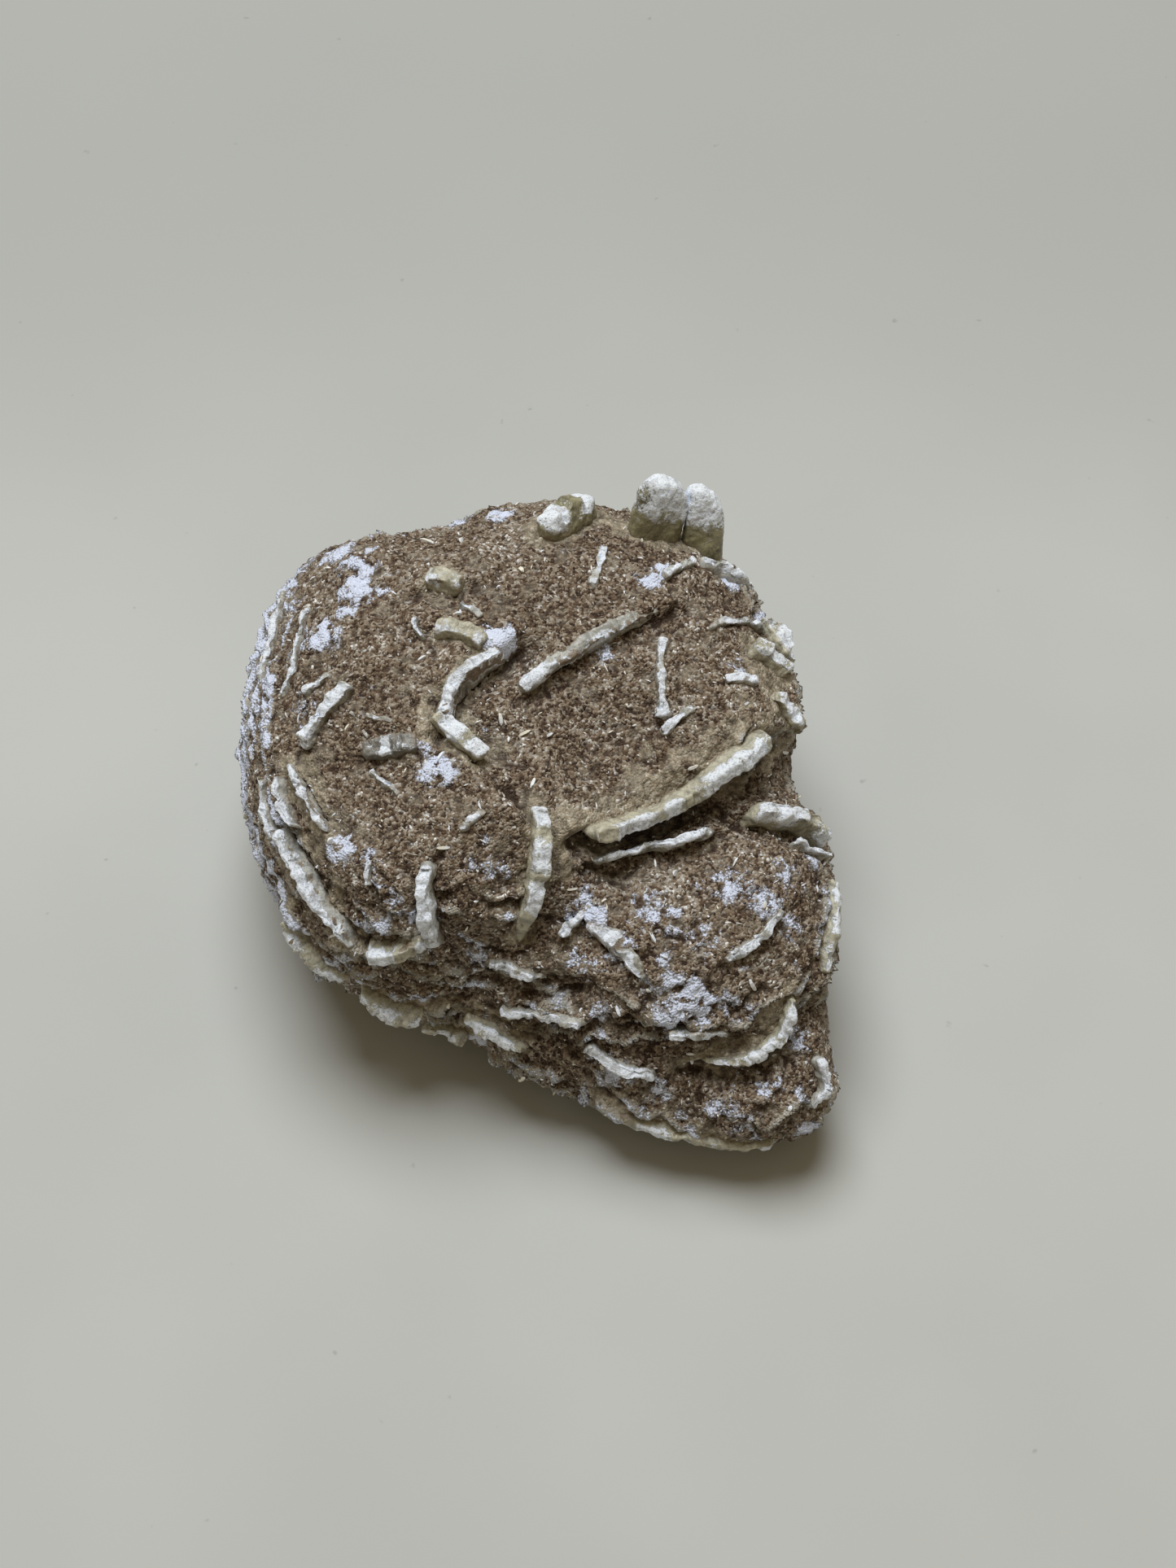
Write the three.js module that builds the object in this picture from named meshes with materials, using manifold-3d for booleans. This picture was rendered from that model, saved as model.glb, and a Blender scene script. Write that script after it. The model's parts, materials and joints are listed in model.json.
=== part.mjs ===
// Gypsum sand rose: a lump of sand-filled gypsum with flat gypsum crystals standing out of it.
// Millimetres, +Z up. The stone lies on a small flat at Z = 0, its narrow toe towards -Y, and its
// origin is under the middle of its bounding box.
import * as THREE from "three";
import { mergeVertices } from "three/addons/utils/BufferGeometryUtils.js";
import Module from "manifold-3d";

const wasm = await Module();
wasm.setup();
const { Manifold, Mesh: SolidMesh } = wasm;

// --- Driving dimensions -------------------------------------------------------------------
const FACET_DETAIL = 8; // subdivisions of each lobe's icosahedron
const BED_DEPTH = 1.2; // how much of the rounded underside is worn off flat
const LUMP_HEIGHT = 0.45; // how far the sandy surface swells and dips
const LUMP_LENGTH = 8; // distance between those swellings
const GAP = 0.3; // clearance between a crystal and what it grows out of
const AROUND = 6; // facets round a crystal's section
const EDGE_SHARPNESS = 0.4; // below 1 squares a crystal's section, 1 leaves it oval
const BLUNT = 0.16; // how gently a crystal's end closes: near 0 is cut square, 1 is drawn to a point
const HEART = new THREE.Vector3(0, 0, 12); // the point that the crystals radiate from

// Each lobe is a rounded lump: its heart, its reach in plan every 22.5 degrees from +X anticlockwise,
// how far it rises above and sinks below the heart, how square its profile is, and its top's slope.
const LOBES = [
  {
    heart: [-2, 3, 18],
    reach: [27.5, 28.5, 31, 30, 29.5, 29, 31.8, 30, 27.8, 27.3, 27.8, 26.3, 22, 21, 19, 24],
    rise: 17,
    sink: 18,
    square: 2.8,
    slope: [0, 0.06],
  },
  {
    heart: [13, -13, 13],
    reach: [16, 17.5, 18, 20, 20, 20, 20, 20, 23, 21, 16, 14.5, 15, 15, 15.5, 16],
    rise: 13,
    sink: 13,
    square: 2.8,
    slope: [0, 0.2],
  },
  {
    heart: [14, -16, 8.5],
    reach: [15, 15.5, 18, 20, 20, 20, 20, 22, 25, 20, 15.5, 15, 15, 18.2, 19.8, 16],
    rise: 9,
    sink: 8.5,
    square: 2.6,
    slope: [0, 0.1],
  },
];

// Hollows and swellings: where each is centred, how wide it is, and how it pushes the surface.
const DENTS = [
  { name: "basin", at: [6.5, -2, 34], width: 8.5, push: [0, 0.5, -3.8] },
  { name: "bowl", at: [-14, -6, 33.5], width: 6.5, push: [0.3, 0.3, -1.8] },
  { name: "ridge between the hollows", at: [-8, 0.5, 34.5], width: 3.5, push: [0, 0, 1.0] },
  { name: "step under the main ridge", at: [13, -11, 28.5], width: 4.8, push: [-0.5, 2.6, -1.6] },
  { name: "step at the step's left end", at: [5, -15, 28], width: 4, push: [0, 1.6, -0.8] },
  { name: "right hand step", at: [24, -6, 25], width: 4, push: [-1.6, 1.4, -1.2] },
  { name: "hole in the front", at: [-11, -21.5, 22], width: 3, push: [1, 3.4, 0.6] },
  { name: "valley beside the shoulder", at: [-1, -22, 19], width: 5, push: [0, 1.8, -0.6] },
  { name: "shelf over the toe", at: [16, -29, 16], width: 5, push: [0, 1.6, -1.2] },
  { name: "left flank", at: [-26, 8, 29], width: 6, push: [0.8, -0.2, -1] },
  { name: "right flank", at: [24, 8, 27], width: 5, push: [1.2, 0.4, 0.8] },
  { name: "back corner", at: [-12, 29, 27], width: 6.5, push: [0.5, -1.8, -1.4] },
];

// Flat gypsum crystals. Each grows out of the stone along its seats and stands proud of it by the
// height given, roots in it by the depth given, and leans from straight out by the lean given. Its two
// ends are blunt unless it says otherwise.
const CRYSTALS = [
  // Round the two hollows on top.
  { name: "centre_blade", seats: [[0, -9.8, 32.5], [0.5, -13.6, 30.5], [-0.4, -16.7, 27.3], [-2, -19.8, 22]],
    thick: 2, proud: 1.9, root: 3, ends: [BLUNT, 0.8] },
  { name: "main_ridge_blade",
    seats: [[4.5, -11.7, 30.5], [9.5, -8.8, 29], [14.3, -6.5, 29.3], [18.8, -2.8, 29.6], [22, 0.7, 29]],
    thick: 2, proud: 2.8, root: 3, lean: [0.2, -0.8, 0.3] },
  { name: "under_ridge_blade", seats: [[5.6, -13.8, 28], [10.8, -11.1, 26], [17.4, -8.9, 26]],
    thick: 1, proud: 1.9, root: 2.5, lean: [0, -0.4, 0.3] },
  { name: "corner_blade_upper", seats: [[-3.3, 6.2, 35], [-5, 4.7, 35], [-7.3, 2.4, 35], [-9.3, -1.5, 34.8]],
    thick: 1.5, proud: 1.1, root: 2.5 },
  { name: "corner_blade_lower", seats: [[-9.6, -1.1, 34.5], [-7.4, -3.4, 34.4], [-5, -5.7, 34]],
    thick: 2, proud: 1.4, root: 2.5, lean: [0.2, 0, 0] },
  { name: "long_ridge_blade", seats: [[-2, 2.1, 35], [2.5, 6.2, 35], [6.9, 9.1, 35], [12.3, 11.8, 34]],
    thick: 1.8, proud: 1, root: 2.5, ends: [0.3, 0.6] },
  { name: "curved_blade", seats: [[-10, 8.2, 35], [-7.5, 7.8, 35], [-5, 6.2, 35]],
    thick: 2, proud: 1.3, root: 2.5 },
  { name: "hook_blade", seats: [[-11.5, 9.6, 35], [-11.7, 8.6, 35], [-10.8, 7.2, 35]],
    thick: 0.9, proud: 1, root: 2 },
  { name: "upright_blade", seats: [[12.4, 8.7, 34], [12.5, 3.8, 33.5], [13.5, 0.1, 33]],
    thick: 1.2, proud: 1.2, root: 2.2 },
  { name: "short_cross_blade", seats: [[13.2, -1.2, 33], [15.8, 1.7, 33]],
    thick: 1, proud: 1, root: 2 },
  { name: "centre_splinter", seats: [[-7.2, -12.8, 32], [-4.6, -10.8, 33]],
    thick: 0.8, proud: 0.7, root: 1.8 },
  // Along the top edge.
  { name: "tooth_left", seats: [[9, 22.2, 33], [11.5, 22.9, 32], [14, 23.3, 31]],
    thick: 3, proud: 6.2, root: 3.5, lean: [0.1, 0.3, 0.8], ends: [0.45, 0.45] },
  { name: "tooth_right", seats: [[14.6, 23, 31], [17, 22.8, 30], [18.8, 22.2, 29]],
    thick: 3, proud: 7, root: 3.5, lean: [-0.5, 0.6, 1.6], ends: [0.45, 0.45] },
  { name: "small_tooth", seats: [[0.4, 20.4, 34.5], [2.8, 23.2, 33.4], [4.8, 25.6, 32]],
    thick: 2.8, proud: 2.2, root: 2.5, lean: [-0.2, 0.2, 0.5] },
  { name: "top_bar", seats: [[5.1, 13.3, 35], [6.7, 19.6, 34]], thick: 1.1, proud: 0.9, root: 2 },
  { name: "step_crystal", seats: [[-11.1, 15, 35], [-7.3, 13.5, 35]], thick: 2.1, proud: 1.2, root: 2.2 },
  { name: "step_chip", seats: [[-7.5, 11.2, 35], [-5.4, 9.2, 35]], thick: 1, proud: 0.8, root: 1.8 },
  { name: "roof_blade_left", seats: [[12, 15.2, 34], [15.3, 18.9, 32]], thick: 1.1, proud: 1, root: 2 },
  { name: "roof_blade_right", seats: [[15.8, 19, 32], [18.4, 18.8, 30], [20.8, 18.2, 28]],
    thick: 1.2, proud: 1.2, root: 2 },
  { name: "thin_cross_blade", seats: [[16.2, 10, 33], [19, 11.8, 31], [22.4, 13.4, 28]],
    thick: 0.8, proud: 0.9, root: 2 },
  // Down the right edge.
  { name: "knob_upper", seats: [[22, 14.6, 27], [24.4, 9.8, 27]],
    thick: 2.8, proud: 1.7, root: 3, lean: [-0.2, 0, 0.8] },
  { name: "knob_middle", seats: [[20.2, 9, 30.7], [23.6, 7.4, 28]], thick: 2.2, proud: 1.6, root: 2.5 },
  { name: "knob_back", seats: [[18, 4.4, 32], [21, 5.2, 30.5]], thick: 1.2, proud: 1, root: 2 },
  { name: "knob_lower", seats: [[22, 4.2, 29.5], [26, 3.6, 25.5]], thick: 1.8, proud: 1.8, root: 2.5 },
  { name: "point_blade", seats: [[20.6, -7.2, 26], [25, -6.4, 24], [28.4, -6.6, 20]],
    thick: 1.8, proud: 2.6, root: 3, lean: [0.3, -0.2, 0.4] },
  { name: "point_splinter", seats: [[24.8, -9, 24], [28, -9, 20.5]], thick: 0.8, proud: 1.2, root: 2 },
  // On the left hollow and the left edge.
  { name: "bar_upper", seats: [[-17, -0.2, 33.5], [-12.6, -2.1, 34]], thick: 0.8, proud: 0.7, root: 1.8 },
  { name: "bar_thin", seats: [[-18.4, 0.2, 33.3], [-16.4, -2.6, 33.3]], thick: 0.6, proud: 0.6, root: 1.6 },
  { name: "grey_bar", seats: [[-17.6, -3.8, 33], [-11.2, -3.7, 34]], thick: 2.2, proud: 1.1, root: 2 },
  { name: "bar_lower", seats: [[-17, -5.7, 33], [-13.4, -9.4, 32.7]], thick: 0.9, proud: 0.8, root: 1.8 },
  { name: "left_arc_blade", seats: [[-17.9, 3.2, 33.7], [-20.3, 1.2, 32.7], [-22.9, -2.6, 31]],
    thick: 1.4, proud: 1.2, root: 2.2 },
  { name: "left_arc_splinter", seats: [[-19.8, 4.6, 33], [-23, 3.2, 31.8]], thick: 1, proud: 0.9, root: 2 },
  { name: "left_edge_inner", seats: [[-22.8, 13.9, 31.6], [-24.1, 8.5, 31.4], [-25.6, 3.4, 30]],
    thick: 0.8, proud: 0.9, root: 2 },
  { name: "left_edge_outer", seats: [[-25.4, 18, 29], [-27, 12.7, 28.6], [-28, 6, 28]],
    thick: 0.9, proud: 1, root: 2 },
  // The fan of rims over the left front.
  { name: "fan_rim_inner", seats: [[-24, -3.5, 30], [-23, -6.1, 30], [-21.5, -8.5, 30], [-19.8, -11.6, 29.7]],
    thick: 0.8, proud: 1, root: 2.2, ends: [0.4, 0.4] },
  { name: "fan_rim_middle", seats: [[-25, -4.3, 29], [-24.4, -7.2, 28.4], [-22.6, -10.2, 28.4]],
    thick: 0.8, proud: 1, root: 2.2 },
  { name: "fan_rim_outer", seats: [[-26.4, -4, 28], [-26.4, -6.8, 26.4], [-25, -10.2, 26]],
    thick: 0.8, proud: 1.1, root: 2.2 },
  { name: "front_rim",
    seats: [
      [-24.6, -9, 27], [-23.6, -12, 26.5], [-21.6, -14.9, 25.8], [-19.4, -17.6, 24.3], [-17, -19.7, 22],
    ],
    thick: 0.9, proud: 1.4, root: 3, lean: [-0.2, -0.2, 0.4] },
  { name: "front_rim_end", seats: [[-16.4, -20, 22], [-13.8, -20.7, 23.2], [-11, -20.3, 25]],
    thick: 1.6, proud: 1.9, root: 3, lean: [0, -0.3, 0.4] },
  { name: "front_upright",
    seats: [[-9.9, -15.3, 31], [-10.2, -17.7, 29], [-10.2, -19.7, 26.6], [-9.7, -21, 23]],
    thick: 1.7, proud: 1.8, root: 3 },
  { name: "front_splinter", seats: [[-15.5, -14.2, 30], [-15.5, -16.7, 28.6]],
    thick: 1, proud: 0.9, root: 2 },
  // Petals stacked under the front.
  { name: "petal_left", seats: [[-23.6, -14.6, 20.5], [-21.4, -17.4, 17.8], [-18, -19.4, 16]],
    thick: 1.3, proud: 2.4, root: 3, lean: [-0.2, -0.2, 0.1] },
  { name: "petal_second", seats: [[-17, -19.8, 15.4], [-14, -21, 14], [-11, -21.3, 13]],
    thick: 1.3, proud: 2.5, root: 3, lean: [0, -0.2, 0.1] },
  { name: "petal_third", seats: [[-11.6, -21.3, 10.4], [-9.6, -21, 9.4], [-6.6, -21.4, 9]],
    thick: 1.3, proud: 2.1, root: 3, lean: [-0.1, -0.3, 0.2] },
  { name: "petal_fourth", seats: [[-7.4, -21.4, 12.8], [-4.3, -23.2, 12], [-0.8, -25, 12]],
    thick: 1.3, proud: 1.9, root: 3, lean: [-0.1, -0.3, 0.2] },
  { name: "valley_rim", seats: [[-5, -20.1, 20.4], [-2.7, -21.1, 20.4], [0.8, -22, 20]],
    thick: 1.1, proud: 1.7, root: 2.5, lean: [-0.2, -0.3, 0.3] },
  { name: "valley_rim_lower", seats: [[-3.6, -22.5, 15.4], [0, -24, 16], [5, -24.8, 17.6]],
    thick: 1.1, proud: 2, root: 2.5, lean: [-0.3, -0.4, 0.4] },
  // On the shoulder and the toe.
  { name: "oval_plate", seats: [[4.8, -17.8, 24.4], [8, -20, 23.6], [10.2, -23, 22]],
    thick: 2.1, proud: 0.8, root: 1.8, ends: [0.5, 0.5] },
  { name: "shoulder_ridge_left", seats: [[2.2, -19.6, 23.4], [6.3, -15.8, 25.2]],
    thick: 1, proud: 1, root: 2 },
  { name: "shoulder_ridge", seats: [[17.2, -21.4, 23], [20.7, -19.4, 23.4], [23.3, -15.9, 23.6]],
    thick: 1.3, proud: 1.2, root: 2.4, ends: [0.4, 0.4] },
  { name: "shoulder_edge", seats: [[28.6, -10.4, 19.5], [28.2, -14.5, 19], [26.7, -20, 17.4]],
    thick: 1.3, proud: 1.4, root: 2.6 },
  { name: "shoulder_rim", seats: [[24, -22.4, 19], [23.4, -25.2, 16], [20.8, -28, 14.4], [16.8, -29.2, 13.6]],
    thick: 1.3, proud: 2.2, root: 2.6, lean: [0.2, -0.4, 0.3], ends: [0.4, 0.4] },
  { name: "ledge_blade", seats: [[12.2, -26.8, 18.4], [16, -27.2, 18], [19, -26.6, 17]],
    thick: 1, proud: 1.3, root: 2.4, lean: [0, -0.3, 0.4] },
  { name: "toe_band", seats: [[4.6, -25.3, 14.6], [6.6, -27.2, 13.6], [9.4, -28.8, 13.2], [12, -29.8, 13]],
    thick: 1.6, proud: 1.6, root: 2.6, lean: [0, -0.2, 0.3] },
  { name: "toe_arc", seats: [[25.6, -25.6, 13.5], [26.6, -28, 11.6], [25, -30, 11.4]],
    thick: 1.1, proud: 1.2, root: 2.4 },
  { name: "toe_rim", seats: [[6.4, -29, 8], [11, -31.6, 7], [17.4, -33, 6.6], [23, -32, 6.6]],
    thick: 1.5, proud: 1.2, root: 3 },
  // Round the back, where the crystals lie lower.
  { name: "back_rim_left", seats: [[-22, 25, 22], [-14, 30.6, 22], [-6, 32.4, 21]],
    thick: 1.6, proud: 1.7, root: 3, lean: [0, 0.2, 0.4] },
  { name: "back_rim_right", seats: [[3, 31.6, 19], [11, 29, 18.6], [18, 24, 18]],
    thick: 1.6, proud: 1.8, root: 3, lean: [0, 0.2, 0.4] },
  { name: "left_side_rim", seats: [[-29, -2, 16], [-30, 6, 16], [-28.6, 14, 15]],
    thick: 1.5, proud: 1.2, root: 3, lean: [-0.2, 0, 0.4] },
];

const SAND = { color: 0x8a7c6a, roughness: 0.9, metalness: 0 };
const GYPSUM = { color: 0xcfccc4, roughness: 0.6, metalness: 0 };
const OLIVE_GYPSUM = { color: 0x9a9478, roughness: 0.4, metalness: 0 };

// --- Solids -------------------------------------------------------------------------------
function weld(geometry) {
  const bare = geometry.clone();
  bare.deleteAttribute("normal");
  bare.deleteAttribute("uv");
  return mergeVertices(bare, 1e-4);
}

function solidFrom(geometry) {
  const welded = weld(geometry);
  return new Manifold(
    new SolidMesh({
      numProp: 3,
      vertProperties: welded.getAttribute("position").array,
      triVerts: new Uint32Array(welded.index.array),
    }),
  );
}

function geometryFrom(solid) {
  const { numProp, numVert, vertProperties, triVerts } = solid.getMesh();
  const places = new Float32Array(numVert * 3);
  for (let i = 0; i < numVert; i++) {
    places.set(vertProperties.subarray(i * numProp, i * numProp + 3), i * 3);
  }
  return new THREE.BufferGeometry()
    .setAttribute("position", new THREE.BufferAttribute(places, 3))
    .setIndex(new THREE.BufferAttribute(new Uint32Array(triVerts), 1));
}

// What is left of a cut solid once the crumbs that the cut sets free are dropped.
function largestPiece(solid) {
  return solid.decompose().reduce((best, one) => (one.volume() > best.volume() ? one : best));
}

// --- The sandy mass -----------------------------------------------------------------------
// A closed ring of values, read smoothly at any turn from 0 to 1.
function aroundRing(values, turn) {
  const at = (turn - Math.floor(turn)) * values.length;
  const i = Math.floor(at);
  const t = at - i;
  const pick = (k) => values[(i + k + values.length) % values.length];
  const [a, b, c, d] = [pick(-1), pick(0), pick(1), pick(2)];
  return b + 0.5 * t * (c - a + t * (2 * a - 5 * b + 4 * c - d + t * (3 * (b - c) + d - a)));
}

function lobeGeometry({ heart, reach, rise, sink, square, slope }) {
  const geometry = new THREE.IcosahedronGeometry(1, FACET_DETAIL);
  const places = geometry.getAttribute("position");
  const point = new THREE.Vector3();
  for (let i = 0; i < places.count; i++) {
    point.fromBufferAttribute(places, i);
    const flat = Math.hypot(point.x, point.y);
    const swell = (flat ** square + Math.abs(point.z) ** square) ** (-1 / square);
    const out = aroundRing(reach, Math.atan2(point.y, point.x) / (2 * Math.PI)) * swell;
    const up = point.z * swell;
    const [x, y] = [point.x * out, point.y * out];
    const lift = Math.max(up, 0) * (slope[0] * x + slope[1] * y);
    const z = up * (up > 0 ? rise : sink + BED_DEPTH) + lift;
    places.setXYZ(i, heart[0] + x, heart[1] + y, heart[2] + z);
  }
  return geometry;
}

// Moves each point of the surface by the hollows, and in or out of the heart by the lumps.
function addRelief(geometry) {
  const places = geometry.getAttribute("position");
  const point = new THREE.Vector3();
  const moved = new THREE.Vector3();
  const wave = (2 * Math.PI) / LUMP_LENGTH;
  for (let i = 0; i < places.count; i++) {
    point.fromBufferAttribute(places, i);
    moved.copy(point);
    for (const { at, width, push } of DENTS) {
      const far = point.distanceTo(new THREE.Vector3(...at)) / width;
      moved.addScaledVector(new THREE.Vector3(...push), Math.exp(-far * far));
    }
    const lump =
      Math.sin(wave * (point.x + 0.4 * point.y)) *
      Math.sin(wave * 0.8 * (point.y - 0.5 * point.z)) *
      Math.cos(wave * 0.7 * (point.z + 0.3 * point.x));
    moved.addScaledVector(point.sub(HEART).normalize(), LUMP_HEIGHT * lump);
    places.setXYZ(i, moved.x, moved.y, moved.z);
  }
  return geometry;
}

// Everything below the flat that the stone lies on.
function belowBed() {
  const side = 200;
  return solidFrom(new THREE.BoxGeometry(side, side, side).translate(0, 0, -side / 2));
}

// --- Crystals -----------------------------------------------------------------------------
// Where the straight line from far outside to the heart through a seat meets the stone's skin.
function seatOn(skin, seat) {
  const through = new THREE.Vector3(...seat);
  const inward = HEART.clone().sub(through).normalize();
  const outside = through.clone().addScaledVector(inward, -30);
  const [hit] = new THREE.Raycaster(outside, inward).intersectObject(skin);
  return { point: hit.point, out: hit.face.normal.clone() };
}

function crystalGeometry({ seats, thick, proud, root, lean = [0, 0, 0], ends = [BLUNT, BLUNT] }, skin) {
  const held = seats.map((seat) => seatOn(skin, seat));
  const mean = held.reduce((sum, { out }) => sum.add(out), new THREE.Vector3()).normalize();
  const stands = held.map(({ out }) => out.clone().add(mean).normalize().add(new THREE.Vector3(...lean)));
  const spine = new THREE.CatmullRomCurve3(held.map(({ point }) => point));
  const standing = new THREE.CatmullRomCurve3(stands);
  const geometry = weld(new THREE.SphereGeometry(1, AROUND, seats.length + 4));
  const places = geometry.getAttribute("position");
  const squared = (value) => Math.sign(value) * Math.abs(value) ** EDGE_SHARPNESS;
  const point = new THREE.Vector3();
  for (let i = 0; i < places.count; i++) {
    point.fromBufferAttribute(places, i);
    const along = (1 - THREE.MathUtils.clamp(point.y, -1, 1)) / 2;
    const ring = Math.hypot(point.x, point.z);
    const taper = ring ** THREE.MathUtils.lerp(ends[0], ends[1], along);
    const [across, upward] = ring > 1e-6 ? [squared(point.x / ring), squared(point.z / ring)] : [0, 0];
    const up = standing.getPoint(along).normalize();
    const side = new THREE.Vector3().crossVectors(up, spine.getTangent(along)).normalize();
    point
      .copy(spine.getPoint(along))
      .addScaledVector(side, (across * taper * thick) / 2)
      .addScaledVector(up, (proud - root) / 2 + (upward * taper * (proud + root)) / 2);
    places.setXYZ(i, point.x, point.y, point.z);
  }
  return geometry;
}

// The same crystal swollen by the clearance: the shape of the slot that it stands in.
function swollen(geometry, by) {
  const grown = geometry.clone();
  grown.computeVertexNormals();
  const places = grown.getAttribute("position");
  const normals = grown.getAttribute("normal");
  const point = new THREE.Vector3();
  const normal = new THREE.Vector3();
  for (let i = 0; i < places.count; i++) {
    point.fromBufferAttribute(places, i);
    normal.fromBufferAttribute(normals, i);
    point.addScaledVector(normal, by);
    places.setXYZ(i, point.x, point.y, point.z);
  }
  return grown;
}

// --- Assembly -----------------------------------------------------------------------------
const bed = belowBed();
const lump = LOBES.map((lobe) => solidFrom(lobeGeometry(lobe))).reduce((all, one) => all.add(one));
const skin = new THREE.Mesh(addRelief(geometryFrom(lump)));
let sand = solidFrom(skin.geometry).subtract(bed);
const stone = new THREE.Group();

function addMesh(name, solid, finish) {
  const mesh = new THREE.Mesh(geometryFrom(solid), new THREE.MeshStandardMaterial(finish));
  mesh.name = name;
  stone.add(mesh);
}

let grownSlots = null;
for (const crystal of CRYSTALS) {
  const shape = crystalGeometry(crystal, skin);
  const slot = solidFrom(swollen(shape, GAP * 1.15));
  let body = solidFrom(shape).subtract(bed);
  if (grownSlots) {
    body = largestPiece(body.subtract(grownSlots));
  }
  sand = sand.subtract(slot);
  grownSlots = grownSlots ? grownSlots.add(slot) : slot;
  addMesh(crystal.name, body, crystal.name.startsWith("tooth") ? OLIVE_GYPSUM : GYPSUM);
}
addMesh("sand_mass", largestPiece(sand), SAND);

const box = new THREE.Box3().setFromObject(stone);
const middle = box.getCenter(new THREE.Vector3());
stone.position.set(-middle.x, -middle.y, 0);

export default stone;
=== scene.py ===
"""Gypsum sand rose: the stone's visible surfaces, its floor, its light and its camera."""

import json
import math

import bmesh
import bpy
import numpy as np
from bpy.props import FloatProperty, FloatVectorProperty, IntProperty, PointerProperty
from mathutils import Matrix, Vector
from mathutils.bvhtree import BVHTree


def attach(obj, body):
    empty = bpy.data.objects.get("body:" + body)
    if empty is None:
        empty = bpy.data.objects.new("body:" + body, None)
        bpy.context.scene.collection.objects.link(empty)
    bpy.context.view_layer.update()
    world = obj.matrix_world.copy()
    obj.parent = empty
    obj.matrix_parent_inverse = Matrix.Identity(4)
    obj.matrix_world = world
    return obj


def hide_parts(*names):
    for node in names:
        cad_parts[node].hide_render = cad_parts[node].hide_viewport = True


bl_info = {
    "name": "Gypsum sand rose",
    "version": (1, 0, 0),
    "blender": (4, 5, 0),
    "location": "View3D > Sidebar > Sand rose",
    "description": "Builds a sand-filled gypsum lump, its flat standing crystals, and a plain stage",
    "category": "Add Mesh",
}

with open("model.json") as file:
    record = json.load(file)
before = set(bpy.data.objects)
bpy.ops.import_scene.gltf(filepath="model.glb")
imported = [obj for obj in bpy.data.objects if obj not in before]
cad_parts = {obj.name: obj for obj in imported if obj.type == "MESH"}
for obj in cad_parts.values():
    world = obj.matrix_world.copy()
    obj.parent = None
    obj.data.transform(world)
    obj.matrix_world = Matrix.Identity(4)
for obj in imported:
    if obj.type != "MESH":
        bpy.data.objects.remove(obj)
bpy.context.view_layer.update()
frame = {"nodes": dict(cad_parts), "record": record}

MM = 0.001
SAND = "sand_mass"
CRYSTALS = sorted(name for name in frame["nodes"] if name != SAND)
SLOTS = {part["node"]: part["material_slot"] for part in frame["record"]["subparts"]}
HEART = np.array([0.0, 0.0, 12.0])  # millimetres: the point that the crystals radiate from


# --- Sizes and colours that a user would change -------------------------------------------
def length(name, description, millimetres):
    return FloatProperty(
        name=name, description=description, default=millimetres * MM, min=0.0, unit="LENGTH", precision=5
    )


def colour(name, description, *shade):
    return FloatVectorProperty(
        name=name, description=description, default=shade, min=0.0, max=1.0, size=3, subtype="COLOR_GAMMA"
    )


class SandSizes(bpy.types.PropertyGroup):
    mesh_step: length("Mesh step", "Distance between the points of the sandy surface", 0.3)
    lump_height: length("Lump height", "How far the broad lumps rise and fall", 0.35)
    lump_length: length("Lump length", "Distance between the broad lumps", 6.0)
    grit_height: length("Grit height", "How far clots of grains rise and fall", 0.32)
    grit_length: length("Grit length", "Distance between clots of grains", 1.0)
    shelf_height: length("Shelf height", "How far the edge of a stacked shelf stands out", 1.3)
    rim_height: length("Rim height", "How far a thin rim along the flanks stands out", 0.7)
    shelf_depth: length("Shelf depth", "Distance from one shelf's edge to the next", 2.7)
    shelf_length: length("Shelf length", "How far a shelf's edge runs before it breaks", 6.0)
    bank_height: length("Bank height", "How high sand lies against the foot of a crystal", 0.4)
    bank_width: length("Bank width", "How far that sand reaches from the crystal", 1.4)
    dust_height: length("Dust height", "How high the patches of white powder stand", 0.3)
    grain_size: length("Grain size", "Width of one grain of sand", 0.25)


class CrystalSizes(bpy.types.PropertyGroup):
    fine_step: length("Fine step", "Distance between the points of a small crystal", 0.12)
    coarse_step: length("Coarse step", "Distance between the points of a large crystal", 0.2)
    rib_height: length("Rib height", "How far the ribs across a crystal rise", 0.11)
    rib_pitch: length("Rib pitch", "Distance from one rib to the next", 0.8)
    chip_depth: length("Chip depth", "Depth of the chips along a crystal's edge", 0.45)
    wander: length("Wander", "How far a crystal's faces stray from flat", 0.28)
    wave: length("Wave", "How far a crystal bends from side to side along its length", 0.3)
    break_depth: length("Break depth", "How far a crystal's crest steps down where it has snapped", 0.4)


class SplinterSizes(bpy.types.PropertyGroup):
    needle_count: IntProperty(name="Needles", description="Number of glinting needles", default=1500, min=0)
    needle_length: length("Needle length", "Usual length of a glinting needle", 0.34)
    needle_width: length("Needle width", "Usual width of a glinting needle", 0.13)
    shard_count: IntProperty(name="Shards", description="Number of small blades", default=170, min=0)
    shard_length: length("Shard length", "Usual length of a small blade", 0.95)
    shard_width: length("Shard width", "Usual width of a small blade", 0.24)
    seed: IntProperty(name="Seed", description="Starting number of every random draw", default=7, min=0)


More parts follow.
